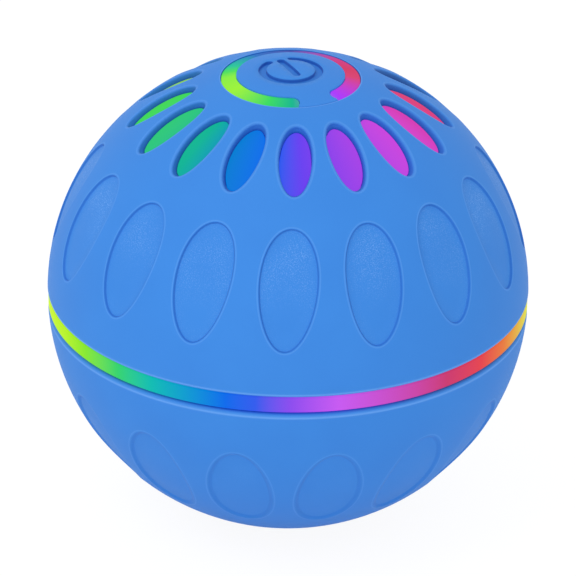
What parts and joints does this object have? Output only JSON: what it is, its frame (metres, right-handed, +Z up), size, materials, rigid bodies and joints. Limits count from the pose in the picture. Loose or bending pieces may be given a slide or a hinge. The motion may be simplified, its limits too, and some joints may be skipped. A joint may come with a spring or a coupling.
{
  "type": "automatic jumping dog ball",
  "caption": "Motorised rolling and jumping pet toy ball with a soft blue cover, lit slots and ring, a push button on top and swinging weights inside.",
  "frame": {"origin": "centre of the ball, which is the middle of its bounding box", "axes": "+Z up through the push button, -Z out of the flat foot, +X along the weight shaft, the button's hinge on the -Y side"},
  "size_m": [0.0798, 0.0798, 0.079],
  "materials": {
    "blue_rubber": "soft-touch matte moulding with a fine grain",
    "milky_dome": "milky translucent, lit from inside in rainbow colours",
    "clear_ring": "frosted clear light guide, lit in rainbow colours",
    "white_plastic": "moulded ABS, satin",
    "grey_plastic": "moulded glass-filled plastic",
    "gear_plastic": "natural acetal",
    "green_board": "solder mask over glass laminate",
    "black_plastic": "satin black",
    "bright_steel": "zinc-plated steel",
    "brass": "sintered bronze and brass",
    "cast_zinc": "as-cast zinc",
    "battery_foil": "aluminium laminate pouch",
    "dark_foam": "closed-cell foam"
  },
  "bodies": {
    "ball": {"upper_cover": "blue_rubber", "lower_cover": "blue_rubber", "diffuser_dome": "milky_dome", "lower_bowl": "white_plastic", "light_ring": "clear_ring", "ring_light_board": "green_board", "control_board": "green_board", "control_chip": "black_plastic", "motion_sensor": "bright_steel", "switch_body": "black_plastic", "charge_board": "green_board", "charge_socket": "bright_steel", "battery": "battery_foil", "battery_pad": "dark_foam", "drive_frame": "grey_plastic", "gear_plate": "grey_plastic", "right_bush": "brass", "left_bush": "brass", "double_gear_pin": "bright_steel", "motor_can": "bright_steel", "motor_end_cap": "black_plastic", "shell_screw_1": "bright_steel", "shell_screw_2": "bright_steel", "shell_screw_3": "bright_steel", "shell_screw_4": "bright_steel", "frame_screw_1": "bright_steel", "frame_screw_2": "bright_steel", "frame_screw_3": "bright_steel", "frame_screw_4": "bright_steel", "board_screw_1": "bright_steel", "board_screw_2": "bright_steel", "board_screw_3": "bright_steel", "motor_screw_1": "bright_steel", "motor_screw_2": "bright_steel", "gear_plate_screw_1": "bright_steel", "gear_plate_screw_2": "bright_steel"},
    "button": {"button_tab": "blue_rubber"},
    "plunger": {"button_plunger": "white_plastic"},
    "stem": {"switch_stem": "black_plastic"},
    "plug": {"charge_plug": "blue_rubber"},
    "weight_shaft": {"main_shaft": "bright_steel", "output_gear": "gear_plastic", "shaft_collar": "brass", "right_weight": "cast_zinc", "left_weight": "cast_zinc", "right_weight_screw": "bright_steel", "left_weight_screw": "bright_steel", "right_shaft_clip": "bright_steel", "left_shaft_clip": "bright_steel"},
    "idler": {"double_gear": "gear_plastic"},
    "rotor": {"motor_shaft": "bright_steel", "motor_pinion": "gear_plastic"}
  },
  "joints": [
    {"name": "button_press", "type": "hinge", "parent": "ball", "child": "button", "pos_m": [0, -0.01125, 0.0383], "axis": [-1, 0, 0], "range_deg": [0, 3], "stiffness_Nm_per_rad": 0.1},
    {"name": "plunger_slide", "type": "slide", "parent": "ball", "child": "plunger", "axis": [0, 0, -1], "range_m": [0, 0.0007]},
    {"name": "stem_slide", "type": "slide", "parent": "ball", "child": "stem", "axis": [0, 0, -1], "range_m": [0, 0.0007]},
    {"name": "plug_pull", "type": "slide", "parent": "ball", "child": "plug", "axis": [0, 0, -1], "range_m": [0, 0.008]},
    {"name": "shaft_spin", "type": "hinge", "parent": "ball", "child": "weight_shaft", "pos_m": [0, 0, 0], "axis": [1, 0, 0], "continuous": true},
    {"name": "double_gear_spin", "type": "hinge", "parent": "ball", "child": "idler", "pos_m": [0, -0.00679, -0.01049], "axis": [1, 0, 0], "continuous": true},
    {"name": "motor_spin", "type": "hinge", "parent": "ball", "child": "rotor", "pos_m": [0, -0.0115, 0], "axis": [1, 0, 0], "continuous": true}
  ],
  "couplings": [
    {"joint": "plunger_slide", "follows": "button_press", "m_per_rad": 0.01125},
    {"joint": "stem_slide", "follows": "button_press", "m_per_rad": 0.01125},
    {"joint": "double_gear_spin", "follows": "shaft_spin", "ratio": -4},
    {"joint": "motor_spin", "follows": "shaft_spin", "ratio": 14.4}
  ]
}
